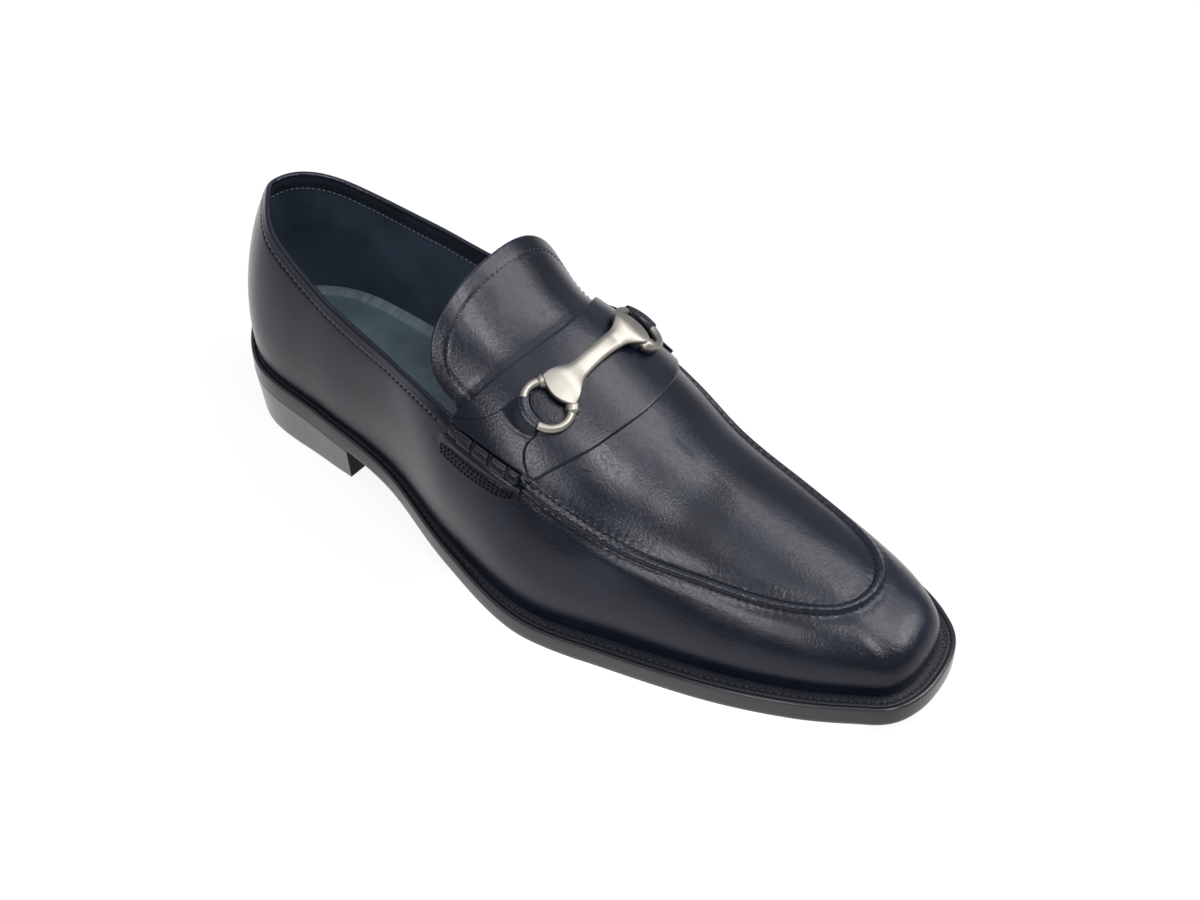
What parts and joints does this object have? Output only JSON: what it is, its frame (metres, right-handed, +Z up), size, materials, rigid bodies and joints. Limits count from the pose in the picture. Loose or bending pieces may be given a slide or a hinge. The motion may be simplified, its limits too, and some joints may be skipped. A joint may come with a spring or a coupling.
{
  "type": "bit loafer",
  "caption": "Right dress loafer with a moccasin-stitched apron, saddle band and horse-bit metal ornament, on a welted leather sole with a low stacked heel.",
  "frame": {"origin": "on the floor, at the middle of the bounding box's base", "axes": "+X towards the toe, +Y towards the inner side of a right shoe (its left), +Z up"},
  "size_m": [0.3054, 0.1064, 0.1088],
  "materials": {
    "upper_leather": "blue-black box calf, polished, fine pores",
    "sock_leather": "matt dark teal lining leather",
    "welt_leather": "black waxed welt, fine stitches",
    "sole_leather": "black edge dressing, semi-matt",
    "heel_leather": "stacked leather, dark grey edge dressing",
    "top_lift_rubber": "hard matt rubber",
    "satin_nickel": "warm satin nickel plating on cast metal"
  },
  "bodies": {
    "root": {"upper": "upper_leather", "tongue": "upper_leather", "saddle": "upper_leather", "bit_tab_outer": "upper_leather", "bit_tab_inner": "upper_leather", "beefroll_outer": "upper_leather", "beefroll_inner": "upper_leather", "side_panel_outer": "upper_leather", "side_panel_inner": "upper_leather", "insole": "sock_leather", "welt": "welt_leather", "outsole": "sole_leather", "heel_stack": "heel_leather", "top_lift": "top_lift_rubber", "bit": "satin_nickel"}
  },
  "joints": []
}
